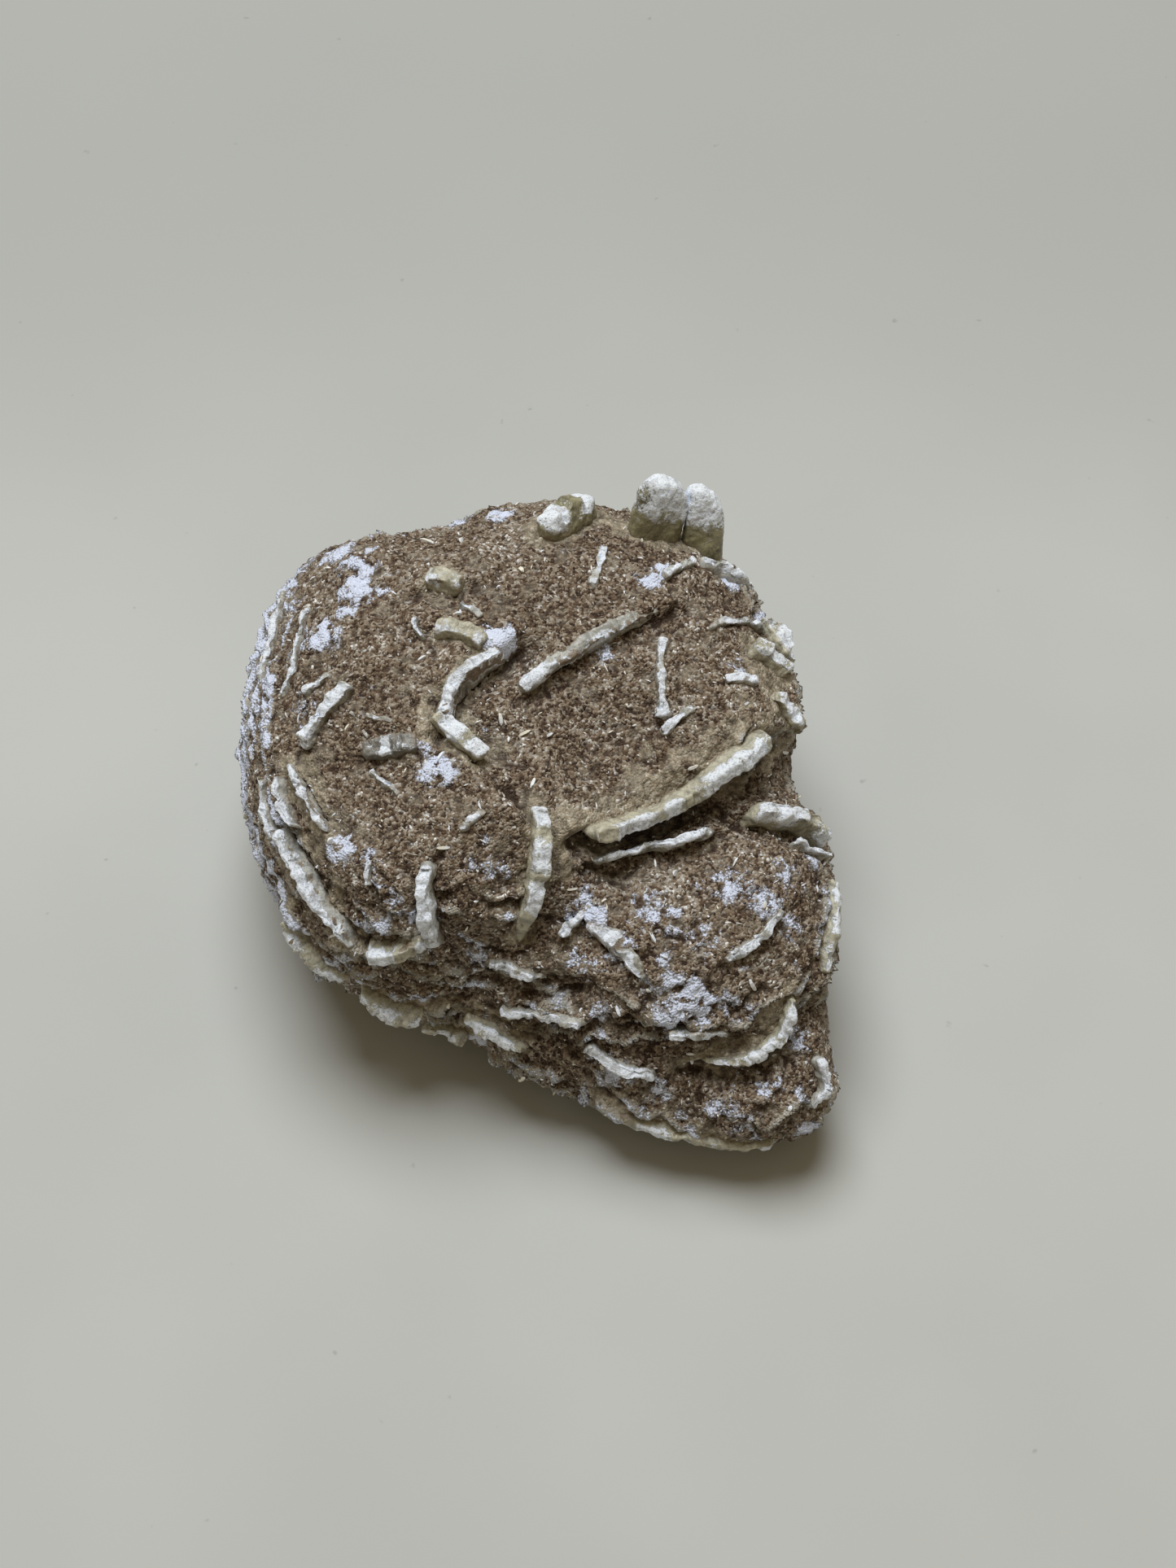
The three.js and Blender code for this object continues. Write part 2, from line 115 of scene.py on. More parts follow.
class StoneColours(bpy.types.PropertyGroup):
    # Dark grains: also the colour of the painted shade that darkens the sand's hollows.
    grain_dark_and_hollow_shade: colour("Dark grains", "Colour of the darkest grains", 0.19, 0.12, 0.07)
    grain_brown: colour("Brown grains", "Colour of the brown grains", 0.39, 0.315, 0.245)
    grain_tan: colour("Tan grains", "Colour of most of the grains", 0.55, 0.485, 0.41)
    grain_pale: colour("Pale grains", "Colour of the pale grains", 0.68, 0.65, 0.61)
    grain_white: colour("White grains", "Colour of the few white grains", 0.93, 0.93, 0.93)
    honey: colour("Honey skin", "Colour of clear gypsum lying over the sand", 0.58, 0.545, 0.47)
    dust: colour("Dust", "Colour of the white powder", 0.87, 0.90, 0.985)
    lip: colour("Rims", "Colour of the stacked rims' edges", 0.70, 0.69, 0.65)
    cream: colour("Cream gypsum", "Body colour of the clean blades", 0.70, 0.685, 0.615)
    frosted: colour("Frosted gypsum", "Body colour of the frosted blades", 0.68, 0.68, 0.66)
    grey: colour("Grey gypsum", "Body colour of the grey bar", 0.50, 0.49, 0.47)
    olive: colour("Olive gypsum", "Body colour of the clear teeth", 0.56, 0.54, 0.43)
    frost: colour("Frost", "Colour of a crystal's weathered edge", 0.925, 0.95, 1.0)


class StageSizes(bpy.types.PropertyGroup):
    floor_width: length("Floor width", "Side of the square floor", 3000)
    floor: colour("Floor", "Colour of the floor", 0.745, 0.752, 0.745)
    distance: length("Camera distance", "From the camera to the plane through the stone's middle", 230)
    elevation: FloatProperty(
        name="Elevation",
        description="How far the camera looks down",
        default=math.radians(57),
        subtype="ANGLE",
    )
    height: length("Aim height", "Height of the point that the camera frames", 15)
    lens: FloatProperty(name="Lens", description="Focal length on a 36 mm tall frame", default=51.56)


class SandRoseSettings(bpy.types.PropertyGroup):
    sand: PointerProperty(type=SandSizes)
    crystals: PointerProperty(type=CrystalSizes)
    splinters: PointerProperty(type=SplinterSizes)
    colours: PointerProperty(type=StoneColours)
    stage: PointerProperty(type=StageSizes)


def settings():
    return bpy.context.scene.sand_rose


# --- Seeded noise -------------------------------------------------------------------------
class Noise:
    """Smooth noise from about -1 to 1, read at many points at once."""

    CORNERS = np.array([[x, y, z] for x in (0, 1) for y in (0, 1) for z in (0, 1)])

    def __init__(self, seed):
        draw = np.random.default_rng(seed)
        self.order = draw.permutation(256)
        slopes = draw.normal(size=(256, 3))
        self.slopes = slopes / np.linalg.norm(slopes, axis=1, keepdims=True)

    def __call__(self, points):
        base = np.floor(points).astype(int)
        inside = points - base
        ease = inside**3 * (inside * (inside * 6 - 15) + 10)
        total = np.zeros(len(points))
        for corner in self.CORNERS:
            x, y, z = ((base + corner) & 255).T
            slope = self.slopes[self.order[(self.order[(self.order[x] + y) & 255] + z) & 255]]
            weight = np.prod(np.where(corner, ease, 1 - ease), axis=1)
            total += weight * np.einsum("ij,ij->i", slope, inside - corner)
        return total * 1.6

    def rough(self, points, octaves=3):
        return sum(self(points * 2**k + 17.0 * k) / 2**k for k in range(octaves))


def step_up(low, high, values):
    """0 below low, 1 above high, and smooth between; it falls where low is above high."""
    t = np.clip((values - low) / (high - low), 0, 1)
    return t * t * (3 - 2 * t)


# --- Mesh helpers -------------------------------------------------------------------------
def points_of(mesh):
    flat = np.empty(len(mesh.vertices) * 3)
    mesh.vertices.foreach_get("co", flat)
    return flat.reshape(-1, 3) / MM


def normals_of(mesh):
    flat = np.empty(len(mesh.vertices) * 3)
    mesh.vertex_normals.foreach_get("vector", flat)
    return flat.reshape(-1, 3)


def faces_of(mesh):
    return [tuple(face.vertices) for face in mesh.polygons]


def move_points(mesh, points):
    mesh.vertices.foreach_set("co", (points * MM).ravel())
    mesh.update()


def show(name, mesh):
    """Puts a mesh in the scene as an object of the given name, with smooth faces."""
    mesh.polygons.foreach_set("use_smooth", [True] * len(mesh.polygons))
    piece = bpy.data.objects.new(name, mesh)
    bpy.context.scene.collection.objects.link(piece)
    return piece


def mesh_from(name, points, faces):
    mesh = bpy.data.meshes.new(name)
    mesh.from_pydata((np.asarray(points) * MM).tolist(), [], faces)
    mesh.validate()
    return mesh


def voxel_skin(name, points, faces, step):
    """One even closed mesh round everything in the given faces. step is in metres."""
    rough = show(name + "_rough", mesh_from(name, points, faces))
    remesh = rough.modifiers.new("Skin", "REMESH")
    remesh.mode = "VOXEL"
    remesh.voxel_size = step
    remesh.adaptivity = 0.0
    ready = rough.evaluated_get(bpy.context.evaluated_depsgraph_get())
    skin = bpy.data.meshes.new_from_object(ready)
    bpy.data.objects.remove(rough)
    skin.name = name
    return keep_largest_shell(skin)


def store(mesh, name, values):
    """Keeps one number for each point, for the material to read."""
    attribute = mesh.attributes.new(name, "FLOAT", "POINT")
    attribute.data.foreach_set("value", np.asarray(values, dtype=np.float32))


class Web:
    """Which points of a mesh are joined by an edge."""

    def __init__(self, mesh):
        flat = np.empty(len(mesh.edges) * 2, dtype=int)
        mesh.edges.foreach_get("vertices", flat)
        pairs = flat.reshape(-1, 2)
        self.size = len(mesh.vertices)
        self.pairs = np.concatenate([pairs, pairs[:, ::-1]])

    def relax(self, values, rounds, share=0.5):
        """Draws each point towards the mean of its neighbours."""
        values = values.copy()
        count = np.maximum(np.bincount(self.pairs[:, 0], minlength=self.size), 1)
        for _ in range(rounds):
            for axis in range(values.shape[1]):
                total = np.bincount(self.pairs[:, 0], values[self.pairs[:, 1], axis], minlength=self.size)
                values[:, axis] += share * (total / count - values[:, axis])
        return values

    def pull_taut(self, values, loose, rounds=420):
        """Draws the loose points into a taut sheet held by the others, by conjugate gradients."""
        pairs = self.pairs[loose[self.pairs[:, 0]]]
        count = np.bincount(pairs[:, 0], minlength=self.size)
        values = values.copy()

        def strain(part):
            total = np.bincount(pairs[:, 0], part[pairs[:, 1]], minlength=self.size)
            return (count * part - total) * loose

        for axis in range(values.shape[1]):
            rest = -strain(values[:, axis])
            step = rest.copy()
            size = rest @ rest
            for _ in range(rounds):
                pulled = strain(step)
                share = size / max(step @ pulled, 1e-12)
                values[:, axis] += share * step
                rest -= share * pulled
                size, last = rest @ rest, size
                if size < 1e-9:
                    break
                step = rest + (size / last) * step
        return values

    def shells(self):
        """A number for each point that is the same all over one closed shell."""
        order = np.argsort(self.pairs[:, 0], kind="stable")
        first, second = self.pairs[order].T
        heads, starts = np.unique(first, return_index=True)
        label = np.arange(self.size)
        while True:
            lowest = label.copy()
            lowest[heads] = np.minimum(label[heads], np.minimum.reduceat(label[second], starts))
            lowest = lowest[lowest]
            if np.array_equal(lowest, label):
                return label
            label = lowest


def keep_largest_shell(mesh):
    """Drops the small closed pockets that lie inside a mesh."""
    label = Web(mesh).shells()
    names, counts = np.unique(label, return_counts=True)
    spare = label != names[np.argmax(counts)]
    if spare.any():
        work = bmesh.new()
        work.from_mesh(mesh)
        work.verts.ensure_lookup_table()
        bmesh.ops.delete(work, geom=[work.verts[i] for i in np.flatnonzero(spare)], context="VERTS")
        work.to_mesh(mesh)
        work.free()
    return mesh


def tree_of(points, faces):
    return BVHTree.FromPolygons(points.tolist(), faces)


def distances(tree, points):
    """How far each point is from the tree's surface, the nearest place on it and the way it faces there."""
    found = [tree.find_nearest(point) for point in points.tolist()]
    return tuple(np.array([hit[part] for hit in found]) for part in (3, 0, 1))


# --- Shader maths -------------------------------------------------------------------------
class Value:
    """A number in a material. Arithmetic on it adds Math nodes."""

    def __init__(self, shades, socket):
        self.shades = shades
        self.socket = socket

    def math(self, operation, *others, clamp=False):
        values = dict(enumerate((self, *others)))
        return self.shades.add("ShaderNodeMath", {"operation": operation, "use_clamp": clamp}, values)

    def __add__(self, other):
        return self.math("ADD", other)

    def __radd__(self, other):
        return self.math("ADD", other)

    def __sub__(self, other):
        return self.math("SUBTRACT", other)

    def __rsub__(self, other):
        return self.math("MULTIPLY", -1.0).math("ADD", other)

    def __mul__(self, other):
        return self.math("MULTIPLY", other)

    def __rmul__(self, other):
        return self.math("MULTIPLY", other)

    def __pow__(self, other):
        return self.math("POWER", other)

    def clamped(self):
        return self.math("ADD", 0.0, clamp=True)

    def between(self, low, high):
        """0 at low and 1 at high, smooth between them."""
        return self.shades.add(
            "ShaderNodeMapRange",
            {"interpolation_type": "SMOOTHSTEP"},
            {"Value": self, "From Min": low, "From Max": high},
        )


class Shades:
    """A material whose nodes are added one after another."""

    def __init__(self, name):
        self.material = bpy.data.materials.new(name)
        self.material.use_nodes = True
        self.tree = self.material.node_tree
        self.shader = self.tree.nodes["Principled BSDF"]

    def add(self, kind, options=None, values=None, out=0):
        node = self.tree.nodes.new(kind)
        for key, option in (options or {}).items():
            if key == "stops":
                self.set_stops(node.color_ramp, option)
            else:
                setattr(node, key, option)
        for key, value in (values or {}).items():
            self.feed(node.inputs[key], value)
        return Value(self, node.outputs[out])

    def feed(self, socket, value):
        if isinstance(value, Value):
            self.tree.links.new(value.socket, socket)
        else:
            socket.default_value = value

    @staticmethod
    def set_stops(ramp, stops):
        while len(ramp.elements) < len(stops):
            ramp.elements.new(1.0)
        for element, (place, shade) in zip(ramp.elements, stops):
            element.position = place
            element.color = shade

    def place(self):
        return self.add("ShaderNodeTexCoord", out="Object")

    def noise(self, place, size, detail=2.0, roughness=0.5):
        """Noise whose blotches are about as wide as size, in metres."""
        values = {"Vector": place, "Scale": 1 / size, "Detail": detail, "Roughness": roughness}
        return self.add("ShaderNodeTexNoise", {}, values)

    def kept(self, name):
        """A number that the mesh holds for each of its points."""
        return self.add("ShaderNodeAttribute", {"attribute_name": name}, out="Fac")

    def mix(self, share, first, second, blend="MIX"):
        return self.add(
            "ShaderNodeMix",
            {"data_type": "RGBA", "blend_type": blend},
            {"Factor": share, "A": first, "B": second},
            out=2,
        )

    def bump(self, height, distance, strength=1.0, normal=None):
        values = {"Height": height, "Distance": distance, "Strength": strength}
        if normal is not None:
            values["Normal"] = normal
        return self.add("ShaderNodeBump", {}, values)

    def finish(self, **sockets):
        for name, value in sockets.items():
            self.feed(self.shader.inputs[name.replace("_", " ")], value)
        return self.material


def linear(shade):
    """A screen colour as the linear colour, with alpha, that a node wants."""
    return tuple(c / 12.92 if c <= 0.04045 else ((c + 0.055) / 1.055) ** 2.4 for c in shade) + (1.0,)


def scaled(shade, by):
    return tuple(min(c * by, 1.0) for c in shade)


# --- Materials ----------------------------------------------------------------------------
def sandy_material():
    """Grains of many browns, clear gypsum skin near the crystals, frosted shelf edges, white powder, and
    painted shade darkening the hollows.
    """
    tints, grain = settings().colours, settings().sand.grain_size
    shades = Shades("sandy_gypsum")
    place = shades.place()
    one_grain = {"Vector": place, "Scale": 1 / grain}
    cells = shades.add("ShaderNodeTexVoronoi", {"feature": "F1"}, one_grain, out="Color")
    parts = ("Red", "Green", "Blue")
    draws = [shades.add("ShaderNodeSeparateColor", {}, {"Color": cells}, out=part) for part in parts]
    clots = shades.noise(place, 0.9 * MM, 3.0, 0.6)
    fine = shades.noise(place, 0.22 * MM, 2.0)
    broad = shades.noise(place, 6 * MM, 3.0)
    tone = draws[0] * 0.75 + clots * 0.9 + broad * 0.6 - 0.7
    grains = shades.add(
        "ShaderNodeValToRGB",
        {
            "stops": [
                (0.06, linear(tints.grain_dark_and_hollow_shade)),
                (0.30, linear(tints.grain_brown)),
                (0.54, linear(tints.grain_tan)),
                (0.80, linear(tints.grain_pale)),
                (0.93, linear(tints.grain_white)),
            ]
        },
        {"Fac": tone},
    )
    glassy = shades.noise(place, 2.4 * MM, 3.0, 0.55).between(0.52, 0.66) * 0.45
    glaze = shades.mix(draws[1] * 0.5, linear(scaled(tints.honey, 0.9)), linear(tints.grain_pale))
    grains = shades.mix(glassy, grains, glaze)
    clear = (shades.kept("clear") + (clots - 0.5) * 0.7).between(0.3, 0.9)
    deep_honey, pale_honey = linear(scaled(tints.honey, 0.85)), linear(scaled(tints.honey, 1.3))
    clear_tone = shades.mix(clots.between(0.3, 0.7), deep_honey, pale_honey)
    skin = shades.mix(clear * 0.5, grains, clear_tone)
    lip = (shades.kept("lip") + (draws[1] - 0.5) * 0.5 + (clots - 0.5) * 0.6).between(0.4, 0.9)
    rimmed = shades.mix(lip * 0.7, skin, linear(tints.lip))
    # Painted shade: points lying below their neighbours are darkened towards the darkest grain colour. The
    # same hollow mask also thins the powder.
    hollow = shades.kept("hollow").clamped()
    hollow_painted_shade = shades.mix(hollow * 0.92, rimmed, linear(tints.grain_dark_and_hollow_shade))
    wisps = shades.noise(place, 0.7 * MM, 5.0, 0.7)
    thick = shades.kept("dust") * 1.5 - draws[2] * 0.3 + (wisps - 0.5) * 1.7 - hollow * 0.4 - 0.2
    powder = thick.between(0.05, 0.4)
    crusted = shades.mix(powder * 0.75, hollow_painted_shade, linear(scaled(tints.dust, 0.66)))
    crumbs = (thick + (fine - 0.5) * 1.6).between(0.3, 0.5)
    surface = shades.mix(crumbs * 0.95, crusted, linear(tints.dust))
    shine = 0.88 - clear * 0.35 + powder * 0.05
    grain_bump = shades.add("ShaderNodeTexVoronoi", {"feature": "F1"}, one_grain, out="Distance")
    height = (1 - grain_bump) * (1 - clear * 0.35) + fine * 0.6
    normal = shades.bump(height, 0.18 * MM, 1.0)
    return shades.finish(Base_Color=surface, Roughness=shine, Normal=normal)


def gypsum_material(name, body, clear, frost_from, segment):
    """Ribbed gypsum, clear and dirty at the foot and frosted white along the edge."""
    tints, sizes = settings().colours, settings().crystals
    shades = Shades(name)
    place = shades.place()
    along = shades.kept("along")
    share = shades.kept("share")
    rise = shades.kept("rise")
    blotch = shades.noise(place, 0.9 * MM, 4.0, 0.65)
    speck = shades.noise(place, 0.26 * MM, 3.0, 0.6)
    grime = shades.noise(place, 1.7 * MM, 3.0, 0.6)
    lengthwise = {"noise_dimensions": "1D"}
    rib_values = {"W": along, "Scale": MM / sizes.rib_pitch, "Detail": 3.0}
    ribs = shades.add("ShaderNodeTexNoise", lengthwise, rib_values)
    seams = (ribs + (speck - 0.5) * 0.3).between(0.34, 0.46)
    clear_tone = shades.mix(seams, linear(scaled(body, 0.78)), linear(body))
    mottled = shades.mix((speck - 0.15).between(0.25, 0.5) * 0.5, clear_tone, linear(scaled(body, 0.72)))
    veined = shades.mix((blotch - 0.1).between(0.3, 0.6) * 0.5, mottled, linear(scaled(body, 1.25)))
    segment_values = {"W": along, "Scale": MM / segment, "Detail": 1.0}
    cut_up = shades.add("ShaderNodeTexNoise", lengthwise, segment_values)
    frosted = (cut_up + (blotch - 0.5) * 0.55 + (speck - 0.5) * 0.4).between(frost_from, frost_from + 0.07)
    top = (share + (grime - 0.5) * 1.1 + (speck - 0.5) * 0.3).between(0.38, 0.6)
    frost = top * frosted
    frost_tone = shades.mix(speck.between(0.3, 0.52), linear(scaled(tints.frost, 0.8)), linear(tints.frost))
    streaked = shades.mix(frost * (0.62 + seams * 0.38), veined, frost_tone)
    crust = (grime + (speck - 0.5) * 0.5).between(0.62, 0.7) * 0.5
    edged = shades.mix(crust, streaked, linear(tints.grain_tan))
    foot = (rise * -1.0 + (speck - 0.5) * 1.4 + (blotch - 0.5) * 0.8).between(-0.15, 0.3)
    foot_tone = shades.mix(speck.between(0.35, 0.6), linear(tints.grain_brown), linear(tints.grain_tan))
    dirty = shades.mix(foot * 0.85, edged, foot_tone)
    shine = 0.36 + frost * 0.36 + foot * 0.2
    normal = shades.bump(ribs * 0.6 + speck * 0.9 + frost * speck, 0.12 * MM, 0.9)
    return shades.finish(
        Base_Color=dirty,
        Roughness=shine,
        Normal=normal,
        IOR=1.52,
        Subsurface_Weight=clear,
        Subsurface_Radius=(1.0, 0.95, 0.85),
        Subsurface_Scale=0.9 * MM,
    )


def splinter_material():
    tints = settings().colours
    shades = Shades("splinters")
    place = shades.place()
    patch = shades.noise(place, 2.5 * MM, 2.0)
    fine = shades.noise(place, 0.3 * MM, 2.0)
    tone = shades.mix(patch.between(0.35, 0.65), linear((0.90, 0.88, 0.82)), linear(tints.frost))
    mottled = shades.mix(fine.between(0.3, 0.5), shades.mix(0.25, tone, linear(tints.grain_tan)), tone)
    return shades.finish(Base_Color=mottled, Roughness=0.3 + fine * 0.3, IOR=1.52)


def floor_material():
    tints = settings().stage
    shades = Shades("pale_board")
    place = shades.place()
    cloud = shades.noise(place, 60 * MM, 3.0)
    speck = shades.noise(place, 2.2 * MM, 2.0)
    # Painted shade: the floor darkens towards the back (+Y), standing in for the light falling off there.
    back_falloff_shade = shades.add("ShaderNodeSeparateXYZ", {}, {"Vector": place}, out="Y").between(0.01, 0.12)
    clean = shades.mix(cloud.between(0.3, 0.7), linear(scaled(tints.floor, 0.965)), linear(tints.floor))
    clean = shades.mix(back_falloff_shade * 0.75, clean, linear(scaled(tints.floor, 0.86)))
    dotted = shades.mix(speck.between(0.73, 0.80) * 0.35, clean, linear(scaled(tints.floor, 0.6)))
    return shades.finish(Base_Color=dotted, Roughness=0.8, Normal=shades.bump(speck, 0.05 * MM, 0.3))


# --- The sandy mass -----------------------------------------------------------------------
# Crystals that the sand falls away from: the way to the low side, how far it drops there, and how
# far out the drop reaches. Millimetres.
FALLS = {
    "corner_blade_upper": ((0.75, -0.65, 0.0), 2.3, 3.4),
    "corner_blade_lower": ((0.7, 0.7, 0.0), 2.0, 3.4),
    "centre_blade": ((1.0, 0.2, 0.0), 0.7, 2.0),
    "main_ridge_blade": ((0.35, -0.9, -0.3), 2.5, 2.6),
    "under_ridge_blade": ((0.3, -0.9, -0.3), 1.3, 2.0),
    "long_ridge_blade": ((0.5, -0.85, 0.0), 1.2, 2.4),
    "curved_blade": ((-0.4, -0.9, 0.0), 0.7, 2.0),
    "step_crystal": ((0.2, -0.95, 0.0), 0.9, 2.2),
    "small_tooth": ((0.7, -0.7, 0.0), 0.6, 2.0),
    "grey_bar": ((0.0, -1.0, 0.0), 0.5, 1.8),
    "upright_blade": ((-1.0, 0.0, 0.0), 0.4, 1.8),
    "left_arc_blade": ((0.7, -0.6, 0.0), 0.5, 2.2),
    "fan_rim_inner": ((0.85, 0.45, 0.0), 1.0, 3.0),
    "fan_rim_middle": ((0.85, 0.45, 0.0), 0.7, 1.2),
    "fan_rim_outer": ((0.85, 0.45, 0.0), 0.7, 1.2),
    "front_rim": ((0.8, 0.6, 0.1), 1.1, 3.2),
    "front_rim_end": ((0.0, 1.0, 0.2), 1.0, 2.6),
    "front_upright": ((1.0, 0.0, 0.0), 0.6, 2.0),
    "point_blade": ((0.0, -0.95, -0.3), 1.0, 2.0),
    "oval_plate": ((-0.65, -0.7, -0.3), 0.9, 1.8),
    "shoulder_ridge": ((0.5, -0.85, -0.2), 0.6, 1.8),
    "shoulder_rim": ((0.4, -0.85, -0.4), 1.3, 2.2),
    "ledge_blade": ((0.0, -0.9, -0.4), 1.0, 2.0),
    "toe_band": ((-0.3, -0.85, -0.4), 0.7, 2.0),
    "valley_rim": ((-0.2, -0.9, -0.4), 1.0, 1.8),
    "valley_rim_lower": ((-0.2, -0.9, -0.4), 1.0, 1.8),
    "petal_left": ((-0.2, -0.4, -0.9), 0.9, 1.8),
    **{"petal_" + place: ((-0.1, -0.4, -0.9), 0.9, 1.8) for place in ("second", "third", "fourth")},
    "toe_rim": ((0.0, -0.3, -0.95), 0.6, 1.5),
}

# Broken steps in the sand away from any crystal: where each starts and ends, the way to its low side,
# how far it drops and how far out the drop reaches. Millimetres.
WALLS = [
    ((-5.4, -6.0, 34.0), (-0.9, -10.2, 32.6), (0.72, 0.69, 0.0), 1.5, 2.4),
    ((0.8, -21.6, 21.0), (6.0, -22.6, 21.0), (-0.1, -0.9, -0.4), 1.0, 1.6),
    ((9.6, -25.4, 19.0), (16.8, -26.2, 18.4), (0.0, -0.9, -0.4), 1.1, 1.6),
]

# Crystals with clear gypsum spread over the sand round them, and how far it reaches. Millimetres.
CLEAR_ROUND = {
    "corner_blade_upper": 1.8, "corner_blade_lower": 2.2, "centre_blade": 1.2, "main_ridge_blade": 4.2,
    "step_crystal": 1.6, "small_tooth": 2.2, "tooth_left": 2.0, "tooth_right": 2.0, "knob_lower": 2.4,
    "knob_middle": 2.4, "fan_rim_inner": 2.2, "front_rim": 2.8, "petal_left": 3.0, "petal_second": 3.0,
    "petal_third": 3.0, "petal_fourth": 3.0, "shoulder_rim": 2.2, "toe_rim": 2.6, "curved_blade": 1.0,
}

# Holes worn into the sand: where each is, how wide and how deep. Millimetres.
PITS = [
    ((-10.6, -21.8, 21.4), 1.5, 2.6),
    ((3.5, -22.4, 18.6), 1.5, 1.2),
    ((19.6, -7.4, 26.4), 1.6, 1.4),
    ((24.8, 0.4, 27.0), 1.3, 1.2),
]

# Patches of white powder: where each lies on the stone, how wide it is (millimetres) and how thick.
DUST = [
    ((-17.3, 15.4, 33.5), 2.6, 1.0),
    ((-15.4, 13.9, 33.8), 1.4, 0.8),
    ((-18.4, 18.2, 32.5), 1.2, 0.8),
    ((-20.4, 9.4, 33.0), 1.9, 1.0),
    ((-18.2, 12.0, 33.5), 1.2, 0.8),
    ((-8.7, -6.8, 33.8), 1.8, 1.0),
    ((-9.9, -4.6, 34.0), 1.0, 0.8),
    ((-18.0, -12.8, 29.8), 1.8, 0.95),
    ((-2.6, 6.6, 35.2), 1.9, 0.95),
    ((7.2, 6.9, 33.7), 1.2, 0.95),
    ((7.6, 6.0, 34.6), 1.2, 0.9),
    ((15.6, -24.9, 21.0), 2.3, 1.0),
    ((13.8, -23.5, 22.5), 1.5, 0.7),
    ((-19.5, 21.0, 30.6), 1.9, 1.0),
    ((-24.5, 18.0, 28.5), 1.6, 1.0),
    ((-3.5, 24.9, 33.0), 1.5, 0.9),
    ((11.8, 15.0, 34.0), 1.4, 0.9),
    ((19.6, 18.0, 29.4), 1.5, 0.9),
    ((-9.2, -19.6, 27.5), 1.3, 0.9),
    ((-14.5, -14.5, 30.0), 1.2, 0.6),
    ((5.9, -18.0, 24.6), 1.7, 0.9),
    ((8.6, -20.4, 23.2), 1.5, 0.9),
    ((19.0, -14.5, 25.5), 2.6, 0.48),
    ((22.6, -16.0, 24.0), 2.0, 0.68),
    ((24.6, -12.5, 24.5), 1.8, 0.5),
    ((11.0, -17.0, 25.5), 2.4, 0.48),
    ((12.0, -12.6, 27.0), 1.8, 0.45),
    ((7.0, -14.8, 26.4), 1.4, 0.6),
    ((16.4, -20.0, 23.6), 2.2, 0.45),
    ((8.0, -28.4, 12.6), 2.0, 0.75),
    ((12.4, -30.2, 11.8), 1.7, 0.7),
    ((19.0, -31.0, 10.6), 2.2, 0.55),
    ((-24.4, -8.8, 27.4), 1.2, 0.7),
    ((-27.0, 4.5, 28.0), 1.8, 0.55),
    ((-27.0, 12.0, 28.0), 1.6, 0.6),
    ((26.0, 8.0, 25.0), 1.7, 0.8),
    ((-16.0, 19.5, 32.4), 1.0, 0.8),
    ((-14.9, -14.6, 28.4), 1.2, 0.75),
    ((-13.6, -19.1, 25.7), 1.2, 0.75),
    ((-9.9, -18.6, 26.8), 1.3, 0.9),
    ((-4.4, -13.3, 31.5), 0.8, 0.75),
    ((5.2, -15.8, 24.8), 1.3, 0.65),
    ((3.9, -17.4, 24.0), 1.3, 0.65),
    ((13.9, -17.1, 24.8), 1.0, 0.75),
    ((13.7, -19.4, 24.1), 1.0, 0.7),
    ((20.2, 6.5, 31.5), 1.2, 0.65),
    ((23.0, 15.7, 27.4), 1.6, 0.75),
    ((25.3, -17.5, 22.3), 1.6, 0.6),
    ((27.6, -10.1, 22.0), 1.3, 0.7),
    ((-24.7, 19.9, 28.3), 1.8, 0.9),
    ((-27.6, 17.1, 24.3), 2.0, 0.6),
    ((-7.4, 25.3, 30.6), 1.6, 0.65),
    ((12.9, 16.9, 33.7), 1.2, 0.85),
]


# Nests of thin gypsum rims down the flanks, too slight to be crystals of their own. Each row gives the
# two bearings that the nest runs between, in degrees anticlockwise from +X, and the two heights at which
# its top rim starts and ends. Then come how many rims lie under each other, the gap between them, how
# wide a rim is, how many scallops it breaks into and how far those sag. Millimetres.
RIM_NESTS = [
    ((146, 184), (30.5, 28), 3, 1.9, 0.7, 1, 0.6),
    ((172, 206), (26, 22.5), 3, 2.6, 0.7, 1, 1.0),
    ((206, 236), (23, 19), 2, 2.2, 0.9, 2, 1.0),
    ((204, 286), (17, 9), 2, 2.4, 1.0, 7, 1.8),
    ((244, 282), (20.5, 18), 2, 2.2, 0.7, 3, 1.0),
    ((282, 304), (12, 6.5), 3, 2.6, 0.8, 2, 1.0),
    ((316, 342), (19.5, 21.5), 2, 3.0, 0.8, 2, 0.8),
]
SLOT_FILL = 0.5  # millimetres that each crystal is swollen by to close its slot
SLOT_REACH = 0.95  # millimetres from a crystal within which the sand is drawn taut over the slot
SKIN_ROUNDS = 45  # how often the closed skin is smoothed


def filled_skin(sizes):
    """The sandy mass with the crystals' slots closed over, and each point's distance from a crystal."""
    points, faces, crystals, crystal_faces = [], [], [], []
    for name in [SAND] + CRYSTALS:
        mesh = frame["nodes"][name].data
        places = points_of(mesh)
        if name != SAND:
            start = sum(map(len, crystals))
            crystals.append(places)
            crystal_faces += [tuple(start + i for i in face) for face in faces_of(mesh)]
            places = places + normals_of(mesh) * SLOT_FILL
        start = sum(map(len, points))
        points.append(places)
        faces += [tuple(start + i for i in face) for face in faces_of(mesh)]
    skin = voxel_skin(SAND + "_skin", np.concatenate(points), faces, sizes.mesh_step)
    tree = tree_of(np.concatenate(crystals), crystal_faces)
    places = points_of(skin)
    far = distances(tree, places)[0]
    web = Web(skin)
    places = web.pull_taut(places, far < SLOT_REACH)
    places = web.relax(places, SKIN_ROUNDS)
    move_points(skin, places)
    far = distances(tree, places)[0]
    return skin, web, far


